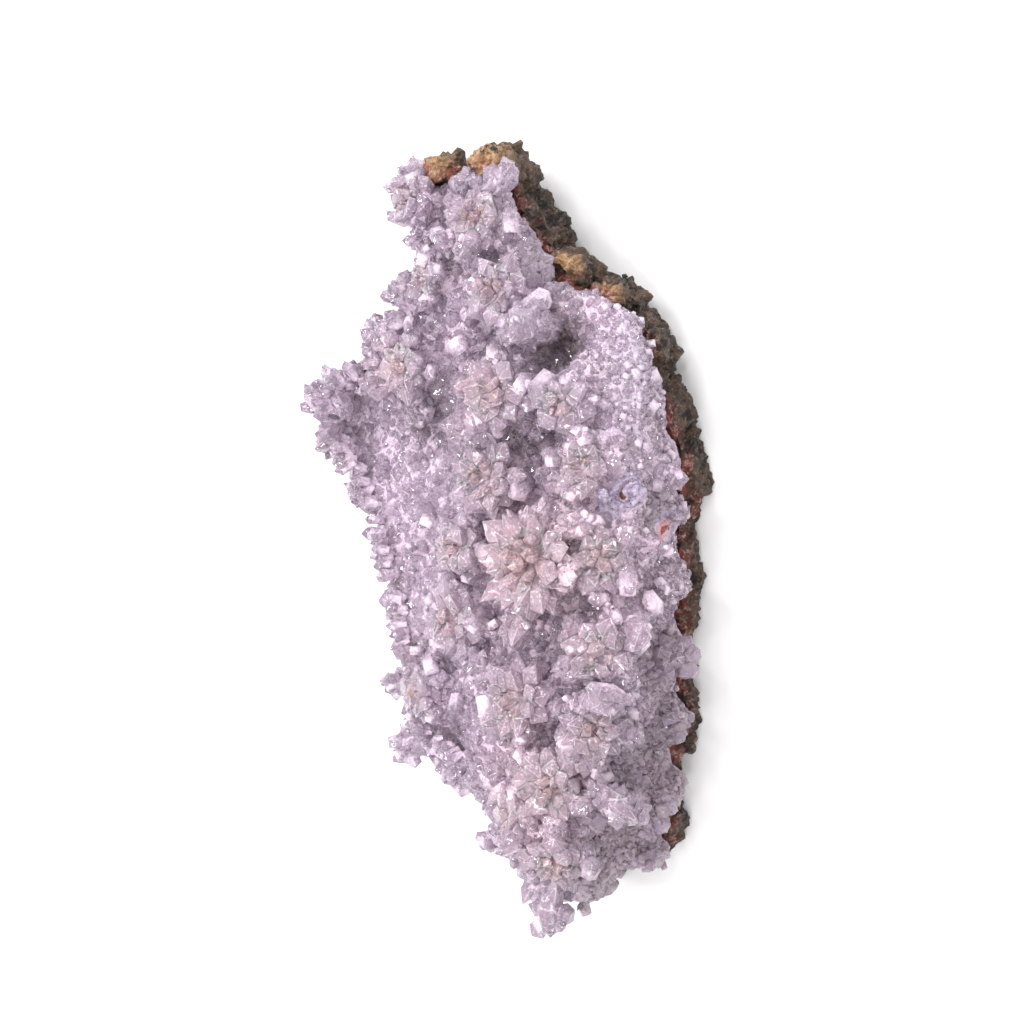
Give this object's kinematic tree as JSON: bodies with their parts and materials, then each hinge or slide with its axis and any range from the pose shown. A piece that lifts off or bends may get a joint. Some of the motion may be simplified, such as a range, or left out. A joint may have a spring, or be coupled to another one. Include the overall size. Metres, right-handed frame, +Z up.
{
  "type": "amethyst specimen",
  "caption": "Long hand specimen of pale amethyst: a crust of quartz rosettes grown over dark volcanic rock, lying on its rock back.",
  "frame": {"origin": "on the resting plane, on the flat of the rock's underside that is nearest the middle of the specimen", "axes": "+Z up, away from the rock, the way the crystals grow; +Y along the length, towards the ochre head; +X towards the broken side that shows the rock"},
  "size_m": [0.0767, 0.1263, 0.0359],
  "materials": {
    "volcanic_rock": "rough broken volcanic rock, olive brown, with ochre and red iron stains",
    "amethyst": "clear to milky pale lilac quartz with glossy crystal faces"
  },
  "bodies": {
    "root": {"host_rock": "volcanic_rock", "crystal_crust": "amethyst"}
  },
  "joints": []
}
